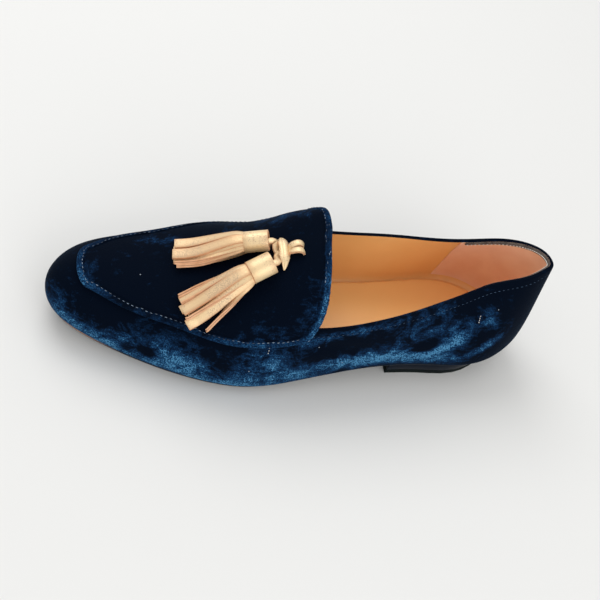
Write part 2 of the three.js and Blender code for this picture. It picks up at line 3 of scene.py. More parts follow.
import bmesh
import bpy
from mathutils import Matrix, Vector
from mathutils.bvhtree import BVHTree
from mathutils.kdtree import KDTree


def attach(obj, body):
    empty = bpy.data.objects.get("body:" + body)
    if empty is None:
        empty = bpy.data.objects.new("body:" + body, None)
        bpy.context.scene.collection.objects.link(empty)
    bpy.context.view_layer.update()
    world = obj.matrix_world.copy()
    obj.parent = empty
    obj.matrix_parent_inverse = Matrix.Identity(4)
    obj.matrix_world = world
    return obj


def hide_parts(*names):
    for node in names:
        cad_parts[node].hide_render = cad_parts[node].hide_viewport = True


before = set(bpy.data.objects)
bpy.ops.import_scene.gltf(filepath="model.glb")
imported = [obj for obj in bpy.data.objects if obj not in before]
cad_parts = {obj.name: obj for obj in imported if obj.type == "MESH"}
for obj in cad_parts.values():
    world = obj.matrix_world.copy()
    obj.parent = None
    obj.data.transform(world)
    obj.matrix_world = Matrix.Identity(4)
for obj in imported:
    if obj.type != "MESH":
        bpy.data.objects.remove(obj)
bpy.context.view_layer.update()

# Camera
# It looks down over the toe at the shoe's outer side, from about half a metre away. It is rolled so that
# the shoe lies across the frame.
camera_turn = math.radians(154.6)
camera_rise = math.radians(48.0)
camera_roll = math.radians(-23.9)
camera_distance = 0.5562
camera_target = Vector((0, 0, 0.025))
camera_lens = 66
toward_camera = Vector((
    math.sin(camera_turn) * math.cos(camera_rise),
    -math.cos(camera_turn) * math.cos(camera_rise),
    math.sin(camera_rise),
))
level = Vector((math.cos(camera_turn), math.sin(camera_turn), 0))
upright = toward_camera.cross(level)
camera_right = level * math.cos(camera_roll) - upright * math.sin(camera_roll)
camera_up = level * math.sin(camera_roll) + upright * math.cos(camera_roll)
bpy.ops.object.camera_add()
camera = bpy.context.object
camera.matrix_world = Matrix.Translation(camera_target + toward_camera * camera_distance) @ Matrix(
    (camera_right, camera_up, toward_camera)
).transposed().to_4x4()
camera.data.lens = camera_lens
bpy.context.scene.camera = camera
bpy.context.scene.view_settings.view_transform = "Standard"

# Studio
# A pale floor under soft light: one large panel above the shoe's inner side, one low at its outer side, and
# pale walls.
floor_size = 8
floor_colour = (0.80, 0.80, 0.785, 1)
walls_colour = (1.0, 1.0, 1.0, 1)
walls_strength = 0.75
panels = [
    {"name": "upper_panel", "place": (0.25, -0.75, 1.1), "size": 0.9, "power": 6.5},
    {"name": "side_panel", "place": (-0.25, 1.0, 0.55), "size": 0.8, "power": 3.6},
]


def select_only(piece):
    bpy.ops.object.select_all(action="DESELECT")
    piece.select_set(True)
    bpy.context.view_layer.objects.active = piece


def put(tree, kind, inputs=None, **settings):
    """Adds a node, sets it up, and feeds its inputs with plain values or with other nodes' outputs."""
    node = tree.nodes.new(kind)
    for name, value in settings.items():
        setattr(node, name, value)
    for name, value in (inputs or {}).items():
        if isinstance(value, bpy.types.NodeSocket):
            tree.links.new(value, node.inputs[name])
        else:
            node.inputs[name].default_value = value
    return node


def scaled_sum(tree, value, factor, base):
    """A node's output that gives a value times a factor, plus a base."""
    return put(tree, "ShaderNodeMath", {0: value, 1: factor, 2: base}, operation="MULTIPLY_ADD").outputs[0]


def new_material(name, **inputs):
    """A new material, its nodes and its Principled shader, whose inputs are set by name."""
    material = bpy.data.materials.new(name)
    material.use_nodes = True
    shader = material.node_tree.nodes["Principled BSDF"]
    for key, value in inputs.items():
        shader.inputs[key.replace("_", " ")].default_value = value
    return material, material.node_tree, shader


bpy.ops.mesh.primitive_plane_add(size=floor_size)
floor = bpy.context.object
floor.name = "floor"
floor.data.materials.append(new_material("pale_floor", Base_Color=floor_colour, Roughness=0.7)[0])

walls = bpy.data.worlds.new("studio")
walls.use_nodes = True
walls.node_tree.nodes["Background"].inputs["Color"].default_value = walls_colour
walls.node_tree.nodes["Background"].inputs["Strength"].default_value = walls_strength
bpy.context.scene.world = walls

for panel in panels:
    bpy.ops.object.light_add(type="AREA", location=panel["place"])
    lamp = bpy.context.object
    lamp.name = panel["name"]
    lamp.data.size = panel["size"]
    lamp.data.energy = panel["power"]
    lamp.rotation_euler = (camera_target - Vector(panel["place"])).to_track_quat("-Z", "Y").to_euler()

# Velvet upper
# The vamp and quarters are one skin of crushed silk velvet over a lining, drawn down over the last and
# turned in under the insole. Its upper edge is turned over at the collar.
mm = 0.001
wall_levels = 3
turned_edge_crease = 0.45
skin_bend = math.radians(50)
side_fade = 14
sheen_spread = 1.15
sheen_strength = 0.8

# Painted sheen of the crushed pile: soft bright patches painted on the wall, in millimetres: how far along
# the shoe, how high, their half sizes, how far they lean, if at all, and how bright they are. A negative one
# is a dark hollow of painted shade.
outer_sheen_patches = [
    {"x": 119, "z": 27, "long": 6, "high": 8, "light": 0.3},
    {"x": 117, "z": 15, "long": 12, "high": 6, "light": 0.8},
    {"x": 96, "z": 11, "long": 16, "high": 4.5, "lean": 8, "light": 0.75},
    {"x": 88, "z": 18, "long": 7, "high": 5, "lean": 30, "light": 0.35},
    {"x": 66, "z": 16, "long": 17, "high": 7, "light": 1.25},
    {"x": 77, "z": 15.4, "long": 4.2, "high": 3, "light": -1.5},
    {"x": 86, "z": 13.0, "long": 3.2, "high": 4, "lean": -60, "light": -0.7},
    {"x": 40, "z": 7, "long": 30, "high": 3.4, "light": 1.1},
    {"x": 44, "z": 18, "long": 7, "high": 6, "light": -0.35},
    {"x": 24, "z": 26, "long": 15, "high": 10, "lean": -20, "light": 0.6},
    {"x": 12, "z": 20, "long": 12, "high": 5, "lean": 35, "light": 0.4},
    {"x": 0, "z": 12, "long": 30, "high": 3.6, "lean": 4, "light": 0.5},
    {"x": -20, "z": 21, "long": 20, "high": 5, "lean": -8, "light": 0.85},
    {"x": -52, "z": 23, "long": 24, "high": 4.8, "light": 1.2},
    {"x": -72, "z": 31, "long": 10, "high": 2.8, "lean": -34, "light": 1.0},
    {"x": -61, "z": 31, "long": 5, "high": 3, "lean": -34, "light": -1.0},
    {"x": -54, "z": 43, "long": 17, "high": 8, "lean": -25, "light": 0.55},
    {"x": -74, "z": 37, "long": 8, "high": 5.5, "light": 0.6},
    {"x": -92, "z": 46, "long": 6, "high": 3.6, "lean": 35, "light": 0.7},
    {"x": -84, "z": 44, "long": 9, "high": 2.6, "lean": -10, "light": 0.3},
    {"x": -93, "z": 30, "long": 10, "high": 2.4, "lean": -32, "light": 0.9},
    {"x": -41, "z": 50, "long": 8, "high": 2.2, "lean": -15, "light": 0.5},
    {"x": -16, "z": 42.5, "long": 16, "high": 2.8, "lean": -12, "light": 0.55},
    {"x": 6, "z": 36, "long": 8, "high": 2, "lean": -10, "light": 0.3},
]
inner_sheen_patches = [
    {"x": 104, "z": 16, "long": 14, "high": 5, "light": 0.7},
    {"x": 66, "z": 13, "long": 18, "high": 5, "light": 0.8},
    {"x": 30, "z": 22, "long": 12, "high": 8, "lean": 15, "light": 0.5},
    {"x": -4, "z": 15, "long": 20, "high": 4, "light": 0.7},
    {"x": -34, "z": 30, "long": 16, "high": 6, "lean": -20, "light": 0.6},
    {"x": -66, "z": 24, "long": 20, "high": 4.5, "light": 0.9},
    {"x": -86, "z": 44, "long": 13, "high": 6, "lean": 25, "light": 0.42},
]


def merged_copy(node, name):
    """A copy of a CAD node's mesh, its loose triangles merged and paired into quads."""
    piece = bpy.data.objects.new(name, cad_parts[node].data.copy())
    bpy.context.scene.collection.objects.link(piece)
    piece.data.materials.clear()
    select_only(piece)
    bpy.ops.object.mode_set(mode="EDIT")
    bpy.ops.mesh.select_all(action="SELECT")
    bpy.ops.mesh.remove_doubles(threshold=0.02 * mm)
    bpy.ops.mesh.tris_convert_to_quads(face_threshold=math.radians(70), shape_threshold=math.radians(80))
    bpy.ops.mesh.select_mode(type="FACE")
    bpy.ops.mesh.select_all(action="DESELECT")
    bpy.ops.object.mode_set(mode="OBJECT")
    return piece


def select_skin(piece, score):
    """Selects the face that scores highest and all that joins it smoothly, and stays in edit mode."""
    select_only(piece)
    seed = max(piece.data.polygons, key=score)
    seed.select = True
    bpy.ops.object.mode_set(mode="EDIT")
    bpy.ops.mesh.select_mode(type="FACE")
    bpy.ops.mesh.faces_select_linked_flat(sharpness=skin_bend)


def hold_edges(piece, crease):
    """Keeps sharp edges tight under subdivision, with a small round."""
    shape = bmesh.new()
    shape.from_mesh(piece.data)
    creases = shape.edges.layers.float.new("crease_edge")
    for edge in shape.edges:
        if len(edge.link_faces) == 2 and edge.calc_face_angle() > skin_bend:
            edge[creases] = crease
    shape.to_mesh(piece.data)
    shape.free()


def finish_modifier(piece, kind, **settings):
    select_only(piece)
    modifier = piece.modifiers.new(kind.lower(), kind)
    for name, value in settings.items():
        setattr(modifier, name, value)
    bpy.ops.object.modifier_apply(modifier=modifier.name)


def round_off(piece, levels):
    finish_modifier(piece, "SUBSURF", levels=levels, render_levels=levels)
    bpy.ops.object.shade_smooth()


def press(piece, height, weight_at):
    """Raises the surface by a height, or sinks it by a negative one, as far as a weight says there."""
    group = piece.vertex_groups.new(name="press")
    for vertex in piece.data.vertices:
        weight = weight_at(vertex.co, vertex.normal)
        if weight > 0.01:
            group.add([vertex.index], min(1, weight), "REPLACE")
    finish_modifier(piece, "DISPLACE", strength=height, mid_level=0, vertex_group="press")
    piece.vertex_groups.remove(piece.vertex_groups["press"])


def mark(piece, name, value_at):
    """Stores a value at each point of a piece, for its material."""
    values = piece.data.attributes.new(name, "FLOAT", "POINT").data
    for vertex in piece.data.vertices:
        values[vertex.index].value = value_at(vertex.co)


def ease(t):
    t = max(0.0, min(1.0, t))
    return t * t * (3 - 2 * t)


def wall_painted_sheen(point):
    """Painted pile sheen at a point. Each side's patches fade over the middle of the toe and heel."""
    light = 0
    outer_share = ease((point.y / mm + side_fade) / (2 * side_fade))
    for sheen_patches, share in ((outer_sheen_patches, outer_share), (inner_sheen_patches, 1 - outer_share)):
        for painted_sheen in sheen_patches:
            lean = math.radians(painted_sheen.get("lean", 0))
            ahead = point.x / mm - painted_sheen["x"]
            above = point.z / mm - painted_sheen["z"]
            along = (ahead * math.cos(lean) + above * math.sin(lean)) / painted_sheen["long"]
            across = (above * math.cos(lean) - ahead * math.sin(lean)) / painted_sheen["high"]
            light += share * painted_sheen["light"] * math.exp(-(along ** 2 + across ** 2) / sheen_spread ** 2)
    return max(0, sheen_strength * light)


# Soft troughs where the velvet was drawn over the last, in millimetres: ends of each on the wall, half
# width and depth
wall_troughs = [
    {"side": 1, "from": (76, 22), "to": (80, 12), "wide": 2.6, "deep": 0.55},
    {"side": 1, "from": (24, 33), "to": (14, 18), "wide": 3.5, "deep": 0.5},
    {"side": 1, "from": (4, 36), "to": (-30, 31), "wide": 4.0, "deep": 0.7},
    {"side": 1, "from": (-56, 33), "to": (-74, 43), "wide": 3.0, "deep": 0.5},
    {"side": 1, "from": (-84, 36), "to": (-98, 46), "wide": 3.5, "deep": 0.5},
    {"side": 1, "from": (104, 25), "to": (96, 14), "wide": 3.0, "deep": 0.35},
    {"side": -1, "from": (70, 22), "to": (62, 12), "wide": 3.0, "deep": 0.5},
    {"side": -1, "from": (12, 38), "to": (-24, 33), "wide": 4.0, "deep": 0.7},
    {"side": -1, "from": (-58, 34), "to": (-80, 46), "wide": 3.5, "deep": 0.5},
]
trough_deepest = max(trough["deep"] for trough in wall_troughs) * mm


def wall_trough(point, normal):
    weight = 0
    for trough in wall_troughs:
        if point.y * trough["side"] < 0:
            continue
        here = Vector((point.x / mm, point.z / mm))
        start = Vector(trough["from"])
        run = Vector(trough["to"]) - start
        share = max(0, min(1, (here - start).dot(run) / run.length_squared))
        away = (here - start - run * share).length / trough["wide"]
        weight += trough["deep"] * mm / trough_deepest * math.exp(-away ** 2)
    return weight


upper = merged_copy("upper", "velvet_upper")
select_skin(upper, lambda face: face.center.z - face.normal.z)
bpy.ops.mesh.delete(type="FACE")
bpy.ops.object.mode_set(mode="OBJECT")
hold_edges(upper, turned_edge_crease)
round_off(upper, wall_levels)
press(upper, -trough_deepest, wall_trough)
# The painted sheen of the pile, for the velvet's colour.
mark(upper, "painted_sheen", wall_painted_sheen)
mark(upper, "border", lambda point: 0)

# The base colour paints the pile's sheen: deep navy where it is flat, up through blue to pale blue where the
# painted sheen patches and the border's painted sheen lift it. The crush, streak and fine pile noise give the
# velvet's own uneven tone.
velvet_deep = (0.0004, 0.0026, 0.0085, 1)
velvet_blue = (0.004, 0.022, 0.065, 1)
velvet_sheen = (0.016, 0.080, 0.185, 1)
velvet_sheen_pale = (0.070, 0.235, 0.42, 1)
lint_colour = (0.26, 0.30, 0.34, 1)
lint_reach = 0.032
streak_share = 0.45
border_glow = 0.29
velvet, tree, shader = new_material(
    "crushed_velvet", Roughness=0.85, Specular_IOR_Level=0.04, Sheen_Weight=0.06, Sheen_Roughness=0.3,
    Sheen_Tint=(0.12, 0.42, 0.9, 1),
)
place = put(tree, "ShaderNodeTexCoord").outputs["Object"]
painted_sheen = put(tree, "ShaderNodeAttribute", attribute_name="painted_sheen").outputs["Fac"]
border = put(tree, "ShaderNodeAttribute", attribute_name="border").outputs["Fac"]
crush = put(tree, "ShaderNodeTexNoise", {
    "Vector": place, "Scale": 85, "Detail": 7, "Roughness": 0.68, "Distortion": 1.1,
})
lean = put(tree, "ShaderNodeMapping", {
    "Vector": place, "Rotation": (0, math.radians(-25), 0), "Scale": (1, 2.2, 3.6),
})
streak = put(tree, "ShaderNodeTexNoise", {
    "Vector": lean.outputs[0], "Scale": 210, "Detail": 4, "Roughness": 0.6,
})
pile = put(tree, "ShaderNodeTexNoise", {"Vector": place, "Scale": 1700, "Detail": 1, "Roughness": 0.5})
both = scaled_sum(tree, streak.outputs["Fac"], streak_share, crush.outputs["Fac"])
crushed = put(tree, "ShaderNodeMath", {0: both, 1: 0.5 + streak_share / 2}, operation="SUBTRACT")
unrest = put(tree, "ShaderNodeMapRange", {"Value": painted_sheen, "From Max": 0.5, "To Min": 1.05, "To Max": 2.3})
stirred = scaled_sum(tree, crushed.outputs[0], unrest.outputs[0], painted_sheen)
edged = scaled_sum(tree, border, border_glow, stirred)
lit = put(tree, "ShaderNodeMapRange", {"Value": edged, "From Min": 0.12, "From Max": 1.15})
speck = put(tree, "ShaderNodeMapRange", {
    "Value": pile.outputs["Fac"], "From Min": 0.36, "From Max": 0.66, "To Min": 0.35, "To Max": 1.65,
})
shown = put(tree, "ShaderNodeMath", {0: lit.outputs[0], 1: speck.outputs[0]}, operation="MULTIPLY")
colours = put(tree, "ShaderNodeValToRGB", {"Fac": shown.outputs[0]})
colours.color_ramp.elements[0].color = velvet_deep
colours.color_ramp.elements[1].color = velvet_sheen_pale
for stop, colour in ((0.3, velvet_blue), (0.72, velvet_sheen)):
    colours.color_ramp.elements.new(stop).color = colour
fluff = put(tree, "ShaderNodeTexVoronoi", {"Vector": place, "Scale": 110})
caught = put(tree, "ShaderNodeMath", {0: fluff.outputs["Distance"], 1: lint_reach}, operation="LESS_THAN")
linted = put(tree, "ShaderNodeMixRGB", {
    "Fac": caught.outputs[0], "Color1": colours.outputs["Color"], "Color2": lint_colour,
})
tree.links.new(linted.outputs[0], shader.inputs["Base Color"])
nap = put(tree, "ShaderNodeBump", {"Strength": 0.5, "Distance": 0.25 * mm, "Height": pile.outputs["Fac"]})
rumple = put(
    tree, "ShaderNodeBump",
    {"Strength": 0.45, "Distance": 0.6 * mm, "Height": crush.outputs["Fac"], "Normal": nap.outputs[0]},
)
tree.links.new(rumple.outputs[0], shader.inputs["Normal"])
upper.data.materials.append(velvet)
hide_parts("upper")
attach(upper, "root")

# Lining
# Smooth tan calf glued inside the velvet, cut level with its turned edge and carried down under the insole.
# Its shape is the inner skin of the solid upper.
lining_colour = (0.90, 0.525, 0.20, 1)
lining_shade = (0.85, 0.465, 0.16, 1)
cloud_share = 0.6


def grain_group():
    """Leather grain: fine cells and soft mottling, for every leather of the shoe."""
    group = bpy.data.node_groups.new("leather_grain", "ShaderNodeTree")
    group.interface.new_socket("Cells", in_out="INPUT", socket_type="NodeSocketFloat")
    group.interface.new_socket("Mottle", in_out="INPUT", socket_type="NodeSocketFloat")
    group.interface.new_socket("Height", in_out="OUTPUT", socket_type="NodeSocketFloat")
    group.interface.new_socket("Cloud", in_out="OUTPUT", socket_type="NodeSocketFloat")
    entry = group.nodes.new("NodeGroupInput")
    end = group.nodes.new("NodeGroupOutput")
    spot = put(group, "ShaderNodeTexCoord").outputs["Object"]
    cells = put(
        group, "ShaderNodeTexVoronoi", {"Vector": spot, "Scale": entry.outputs["Cells"], "Smoothness": 0.8},
        feature="SMOOTH_F1",
    )
    cloud = put(group, "ShaderNodeTexNoise", {"Vector": spot, "Scale": entry.outputs["Mottle"], "Detail": 4})
    wave = scaled_sum(group, cloud.outputs["Fac"], cloud_share, cells.outputs["Distance"])
    group.links.new(wave, end.inputs["Height"])
    group.links.new(cloud.outputs["Fac"], end.inputs["Cloud"])
    return group


leather_grain = grain_group()


def leather(name, light, dark, cells, mottle, depth, **inputs):
    """Leather of two tones with its grain at a given fineness and depth."""
    material, tree, shader = new_material(name, **inputs)
    grain = put(tree, "ShaderNodeGroup", {"Cells": cells, "Mottle": mottle}, node_tree=leather_grain)
    tone = put(tree, "ShaderNodeMapRange", {
        "Value": grain.outputs["Cloud"], "From Min": 0.35, "From Max": 0.65,
    })
    blend = put(tree, "ShaderNodeMixRGB", {"Fac": tone.outputs[0], "Color1": dark, "Color2": light})
    tree.links.new(blend.outputs[0], shader.inputs["Base Color"])
    bump = put(tree, "ShaderNodeBump", {
        "Strength": 0.35, "Distance": depth, "Height": grain.outputs["Height"],
    })
    tree.links.new(bump.outputs[0], shader.inputs["Normal"])
    return material


lining = merged_copy("upper", "lining")
select_skin(lining, lambda face: face.center.z - face.normal.z)
bpy.ops.mesh.select_all(action="INVERT")
bpy.ops.mesh.delete(type="FACE")
bpy.ops.object.mode_set(mode="OBJECT")
round_off(lining, 2)
lining.data.materials.append(leather(
    "tan_calf", lining_colour, lining_shade, cells=1300, mottle=22, depth=0.06 * mm, Roughness=0.42,
))
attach(lining, "root")

# Heel grip
# A half moon of brushed suede glued over the lining round the heel. Its front edges slant down to the sock,
# and it thins out at the collar, under the binding.
grip_top = Vector((-0.0830, 0.0240, 0.0550))
grip_foot = Vector((-0.0809, 0.0317, 0.0161))
grip_skew = Vector((0.29, -0.60, 0.74))
grip_floor = 0.0172
grip_height = 0.3 * mm
grip_taper = 1.6 * mm
cut_reach = 0.001 * mm
suede_colour = (0.92, 0.57, 0.37, 1)
suede_shade = (0.87, 0.50, 0.31, 1)
grip_edge_shadow_colour = (0.20, 0.07, 0.03, 1)
grip_edge_shadow_dark = (0.12, 0.04, 0.02, 1)


def open_edge(piece, above=0):
    """The points of a piece's open edges that lie above a height."""
    shape = bmesh.new()
    shape.from_mesh(piece.data)
    points = []
    for vertex in shape.verts:
        on_rim = any(len(edge.link_faces) == 1 for edge in vertex.link_edges)
        if on_rim and vertex.co.z > above:
            points.append(vertex.co.copy())
    shape.free()
    return points


heel_grip = bpy.data.objects.new("heel_grip", lining.data.copy())
bpy.context.scene.collection.objects.link(heel_grip)
heel_grip.data.materials.clear()
select_only(heel_grip)
bpy.ops.object.mode_set(mode="EDIT")
for side in (-1, 1):
    foot = Vector((grip_foot.x, side * grip_foot.y, grip_foot.z))
    seam = Vector((grip_top.x, side * grip_top.y, grip_top.z)) - foot
    cut = seam.cross(Vector((grip_skew.x, side * grip_skew.y, grip_skew.z))).normalized()
    cut *= math.copysign(1, cut.x)
    bpy.ops.mesh.select_all(action="SELECT")
    bpy.ops.mesh.bisect(plane_co=foot, plane_no=cut, clear_outer=True, threshold=cut_reach)
bpy.ops.mesh.select_all(action="SELECT")
bpy.ops.mesh.bisect(plane_co=(0, 0, grip_floor), plane_no=(0, 0, 1), clear_inner=True, threshold=cut_reach)
bpy.ops.object.mode_set(mode="OBJECT")
lining_edge = open_edge(lining)
lining_edge_tree = KDTree(len(lining_edge))
for i, point in enumerate(lining_edge):
    lining_edge_tree.insert(point, i)
lining_edge_tree.balance()
press(heel_grip, grip_height, lambda point, normal: ease(lining_edge_tree.find(point)[2] / grip_taper))
finish_modifier(
    heel_grip, "SOLIDIFY", thickness=grip_height * 0.9, offset=-1, use_rim=True, material_offset_rim=1,
)
heel_grip.data.materials.append(leather(
    "brushed_suede", suede_colour, suede_shade, cells=2600, mottle=90, depth=0.12 * mm, Roughness=0.85,
    Sheen_Weight=0.3,
))
# The grip's cut edge is painted dark brown as the shadow along its seam with the lining.
heel_grip.data.materials.append(leather(
    "grip_edge_shadow", grip_edge_shadow_colour, grip_edge_shadow_dark, cells=2600, mottle=90, depth=0.05 * mm, Roughness=0.8,
))
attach(heel_grip, "root")

# Collar binding
# A narrow rolled tape, grey-brown, covers the joint of velvet and lining inside the heel. It is held by a
# row of white stitches and runs round the back from the top of the heel grip's front edges.
band_front = -0.084
collar_floor = 0.035
heel_middle = Vector((band_front, -0.007, 0))
# Its rounded section, in millimetres from the lower edge up: drop below the collar and height off the lining
band_section = [(2.4, 0.35), (1.9, 0.95), (1.2, 1.1), (0.5, 0.75), (0.0, 0.05)]
band_columns = 120
band_thickness = 0.3 * mm
band_colour = (0.13, 0.105, 0.085, 1)
band_dark = (0.05, 0.04, 0.035, 1)


def turn_round(middle, point):
    """The angle of a point round a middle of the plan, from the outer side past the back."""
    return math.atan2(middle.x - point.x, point.y - middle.y)


collar_line = [point for point in open_edge(lining, collar_floor) if point.x < band_front]
collar_line.sort(key=lambda point: turn_round(heel_middle, point))
lining_skin = BVHTree.FromObject(lining, bpy.context.evaluated_depsgraph_get())


def on_lining(share, drop, proud):
    """A point inside the heel, at a drop below the collar and a height off the lining, and its normal."""
    where = share * (len(collar_line) - 1)
    i = min(int(where), len(collar_line) - 2)
    point = collar_line[i].lerp(collar_line[i + 1], where - i)
    spot, normal = lining_skin.find_nearest(point - Vector((0, 0, drop)))[:2]
    return spot + normal * proud, normal


bpy.ops.mesh.primitive_grid_add(x_subdivisions=band_columns, y_subdivisions=len(band_section) - 1, size=2)
band = bpy.context.object
band.name = "collar_binding"
for vertex in band.data.vertices:
    drop, proud = band_section[round((vertex.co.y + 1) / 2 * (len(band_section) - 1))]
    vertex.co = on_lining((vertex.co.x + 1) / 2, drop * mm, proud * mm)[0]
finish_modifier(band, "SOLIDIFY", thickness=band_thickness, offset=0)
bpy.ops.object.mode_set(mode="EDIT")
bpy.ops.mesh.select_all(action="SELECT")
bpy.ops.mesh.normals_make_consistent(inside=False)
bpy.ops.object.mode_set(mode="OBJECT")
bpy.ops.object.shade_smooth_by_angle(angle=math.radians(50))
band.data.materials.append(leather(
    "binding_tape", band_colour, band_dark, cells=2200, mottle=500, depth=0.1 * mm, Roughness=0.8,
))
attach(band, "root")

# Apron
# A second layer of velvet with a turned edge, sewn over the vamp round its sides and toe. Behind the throat
# it is free and stands up as a tab.
apron_levels = 3
outline_pitch = 1.0 * mm
border_rise = 0.5 * mm
groove_depth = 0.4 * mm
# The border inside the edge and the groove of its stitches, in millimetres
border_width = 2.8
border_round = 0.7
groove_place = border_width + 0.3
groove_width = 0.45
edge_glint = 0.7
# Patches of painted sheen on the apron's top, in millimetres: how far along and across, their sizes, and how
# bright they are.
top_sheen_patches = [
    {"x": 73, "y": -20, "long": 9, "wide": 4, "light": 0.35},
    {"x": 10, "y": -24, "long": 12, "wide": 7, "light": 0.32},
    {"x": 36, "y": -22, "long": 14, "wide": 5, "light": 0.2},
    {"x": 110, "y": 2, "long": 7, "wide": 9, "light": 0.3},
    {"x": 2, "y": 30, "long": 9, "wide": 9, "light": 0.3},
    {"x": 30, "y": 37, "long": 16, "wide": 4, "light": 0.25},
]


def outline_of(piece):
    """The points round the selected skin of a piece, in order. The piece is in edit mode and leaves it."""
    bpy.ops.object.mode_set(mode="OBJECT")
    shape = bmesh.new()
    shape.from_mesh(piece.data)
    rim = [edge for edge in shape.edges if sum(face.select for face in edge.link_faces) == 1]
    here = rim[0].verts[0]
    start = here
    points = []
    left = set(rim)
    while left:
        step = next((edge for edge in here.link_edges if edge in left), None)
        if step is None:
            break
        left.remove(step)
        points.append(here.co.copy())
        here = step.other_vert(here)
        if here == start:
            break
    shape.free()
    return points


def even_points(points, pitch, closed):
    """Points at an even pitch along a smooth line through the given ones."""
    ring = points + [points[0]] if closed else points
    lengths = [0]
    for a, b in zip(ring, ring[1:]):
        lengths.append(lengths[-1] + (b - a).length)
    count = max(2, round(lengths[-1] / pitch))
    result = []
    j = 0
    for i in range(count if closed else count + 1):
        goal = lengths[-1] * i / count
        while j < len(ring) - 2 and lengths[j + 1] < goal:
            j += 1
        share = (goal - lengths[j]) / max(1e-9, lengths[j + 1] - lengths[j])
        result.append(ring[j].lerp(ring[j + 1], share))
    return result


apron = merged_copy("apron", "apron_with_tab")
select_skin(apron, lambda face: face.center.z + face.normal.z)
apron_outline = outline_of(apron)
tab_lift = 2.6 * mm
tab_back = 2.2 * mm


def behind(point, start, run):
    """Grows from 0 to 1 over a run, in millimetres, backward from a start and toward the inner side."""
    back = ease((start[0] - point.x / mm) / run[0])
    return back * ease((start[1] - point.y / mm) / run[1])


def curl_tab(point):
    """The tab's inner side stands a little higher and further back than the solid's, its corner less so."""
    raised = behind(point, (34, -4), (20, 18))
    corner = behind(point, (5, -20), (8, 10))
    drawn = behind(point, (12, 4), (12, 14))
    back = tab_back * drawn * (1 - 0.8 * corner)
    return point + Vector((-back, 0, tab_lift * raised * (1 - 0.45 * corner)))


for vertex in apron.data.vertices:
    vertex.co = curl_tab(vertex.co)
apron_outline = even_points([curl_tab(point) for point in apron_outline], outline_pitch, True)
hold_edges(apron, turned_edge_crease)
round_off(apron, apron_levels)
edge_tree = KDTree(len(apron_outline))
for i, point in enumerate(apron_outline):
    edge_tree.insert(point, i)
edge_tree.balance()


def from_edge(point):
    """Distance from the apron's edge in millimetres."""
    return edge_tree.find(point)[2] / mm


def border_weight(point, normal):
    return ease((border_width + 0.5 - from_edge(point)) / border_round)


def groove_weight(point, normal):
    return math.exp(-((from_edge(point) - groove_place) / groove_width) ** 2)


press(apron, border_rise, border_weight)
press(apron, -groove_depth, groove_weight)


# Painted sheen on the apron's top, from the patches above.
def apron_painted_sheen(point):
    light = 0
    for painted_sheen in top_sheen_patches:
        along = (point.x / mm - painted_sheen["x"]) / painted_sheen["long"]
        across = (point.y / mm - painted_sheen["y"]) / painted_sheen["wide"]
        light += painted_sheen["light"] * math.exp(-(along ** 2 + across ** 2))
    return light


mark(apron, "painted_sheen", apron_painted_sheen)


def border_sheen(point):
    """Painted sheen on the border: brightest along the tab and at the toe; a painted glint on its edge."""
    away = from_edge(point)
    ends = 0.6 * ease((20 * mm - point.x) / (30 * mm)) + 0.6 * ease((point.x - 88 * mm) / (20 * mm))
    near = ease((60 * mm - point.x) / (30 * mm)) * ease((point.y - 10 * mm) / (15 * mm))
    turned_edge = 0.35 * math.exp(-(away / edge_glint) ** 2)
    return ease((border_width + 0.6 - away) / 1.4) * (0.75 + 0.5 * ends + 0.35 * near) + turned_edge


# The border's painted sheen, for the velvet's colour.
mark(apron, "border", border_sheen)
apron.data.materials.append(velvet)
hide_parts("apron")
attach(apron, "root")

# Stitches
# Pale thread in a row inside the apron's border, a row under the collar, one along the heel's binding, and
# bar tacks where the side seams end.
thread_colour = (0.20, 0.27, 0.36, 1)
thread_dim = (0.006, 0.022, 0.055, 1)
stitch_length = 1.3 * mm
stitch_width = 0.34 * mm
stitch_pitch = 2.4 * mm
apron_spine = 0.09


def surface_of(piece):
    """A function that gives the nearest point of a piece's finished surface, and the normal there."""
    skin = BVHTree.FromObject(piece, bpy.context.evaluated_depsgraph_get())
    return lambda point: skin.find_nearest(point)[:2]


def stitch_row(name, seats, material, length=stitch_length, width=stitch_width):
    """One small rounded stitch, copied to each seat: a point, the surface's normal, the row's direction."""
    bpy.ops.mesh.primitive_uv_sphere_add(segments=8, ring_count=5, radius=0.5)
    row = bpy.context.object
    one = row.data.copy()
    shape = bmesh.new()
    for seat, normal, ahead in seats:
        side = normal.cross(ahead).normalized()
        ahead = side.cross(normal).normalized()
        first = len(shape.verts)
        shape.from_mesh(one)
        turn = Matrix((ahead * length, side * width, normal * width * 0.8)).transposed().to_4x4()
        shape.verts.ensure_lookup_table()
        bmesh.ops.transform(shape, matrix=Matrix.Translation(seat) @ turn, verts=shape.verts[first:])
    shape.to_mesh(row.data)
    shape.free()
    row.name = name
    select_only(row)
    bpy.ops.object.shade_smooth()
    row.data.materials.append(material)
    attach(row, "root")


thread, tree, shader = new_material("waxed_thread", Roughness=0.6, Sheen_Weight=0.2)
place = put(tree, "ShaderNodeTexCoord").outputs["Object"]
fray = put(tree, "ShaderNodeTexNoise", {"Vector": place, "Scale": 160, "Detail": 3})
seen = put(tree, "ShaderNodeMapRange", {"Value": fray.outputs["Fac"], "From Min": 0.45, "From Max": 0.62})
tone = put(tree, "ShaderNodeMixRGB", {"Fac": seen.outputs[0], "Color1": thread_dim, "Color2": thread_colour})
tree.links.new(tone.outputs[0], shader.inputs["Base Color"])

